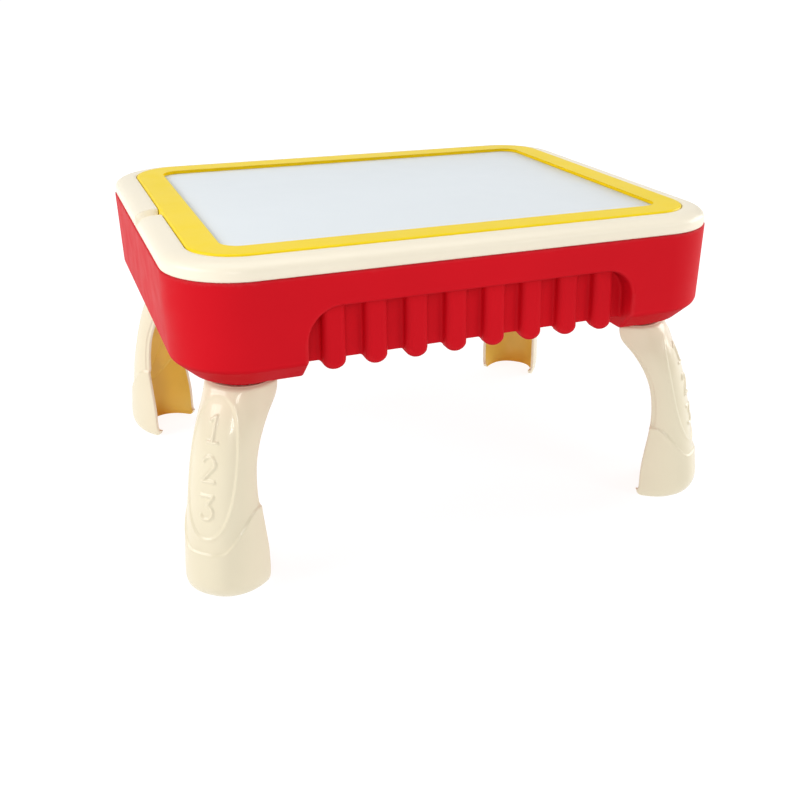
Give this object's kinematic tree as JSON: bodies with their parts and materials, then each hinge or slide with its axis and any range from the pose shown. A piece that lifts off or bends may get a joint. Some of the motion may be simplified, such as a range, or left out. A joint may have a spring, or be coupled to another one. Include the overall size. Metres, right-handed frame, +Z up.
{
  "type": "building block table",
  "caption": "Low child's play table: drafted storage tub with ribbed grip recesses, plug-in hollow legs, rim and lift-out board with a wipe-clean face and a stud plate on its reverse.",
  "frame": {"origin": "on the floor under the table's centre", "axes": "+X along the table's length, +Y to its rear, +Z up"},
  "size_m": [0.36, 0.294, 0.2055],
  "materials": {
    "tub_red": "satin moulded",
    "rim_cream": "semi-gloss moulded",
    "frame_yellow": "gloss moulded",
    "board_white": "wipe-clean gloss",
    "leg_cream": "semi-gloss moulded",
    "screw_steel": "zinc plated"
  },
  "bodies": {
    "tub": {"storage_tub": "tub_red", "rim_frame": "rim_cream"},
    "board": {"board_frame": "frame_yellow", "whiteboard_sheet": "board_white", "block_baseplate": "frame_yellow", "board_screws": "screw_steel"},
    "leg_front_left_body": {"leg_front_left": "leg_cream"},
    "leg_front_right_body": {"leg_front_right": "leg_cream"},
    "leg_rear_left_body": {"leg_rear_left": "leg_cream"},
    "leg_rear_right_body": {"leg_rear_right": "leg_cream"}
  },
  "joints": [
    {"name": "board_lift", "type": "slide", "parent": "tub", "child": "board", "axis": [0, 0, 1], "range_m": [0, 0.04]},
    {"name": "leg_front_left_pull", "type": "slide", "parent": "tub", "child": "leg_front_left_body", "axis": [0, 0, -1], "range_m": [0, 0.035]},
    {"name": "leg_front_right_pull", "type": "slide", "parent": "tub", "child": "leg_front_right_body", "axis": [0, 0, -1], "range_m": [0, 0.035]},
    {"name": "leg_rear_left_pull", "type": "slide", "parent": "tub", "child": "leg_rear_left_body", "axis": [0, 0, -1], "range_m": [0, 0.035]},
    {"name": "leg_rear_right_pull", "type": "slide", "parent": "tub", "child": "leg_rear_right_body", "axis": [0, 0, -1], "range_m": [0, 0.035]}
  ]
}
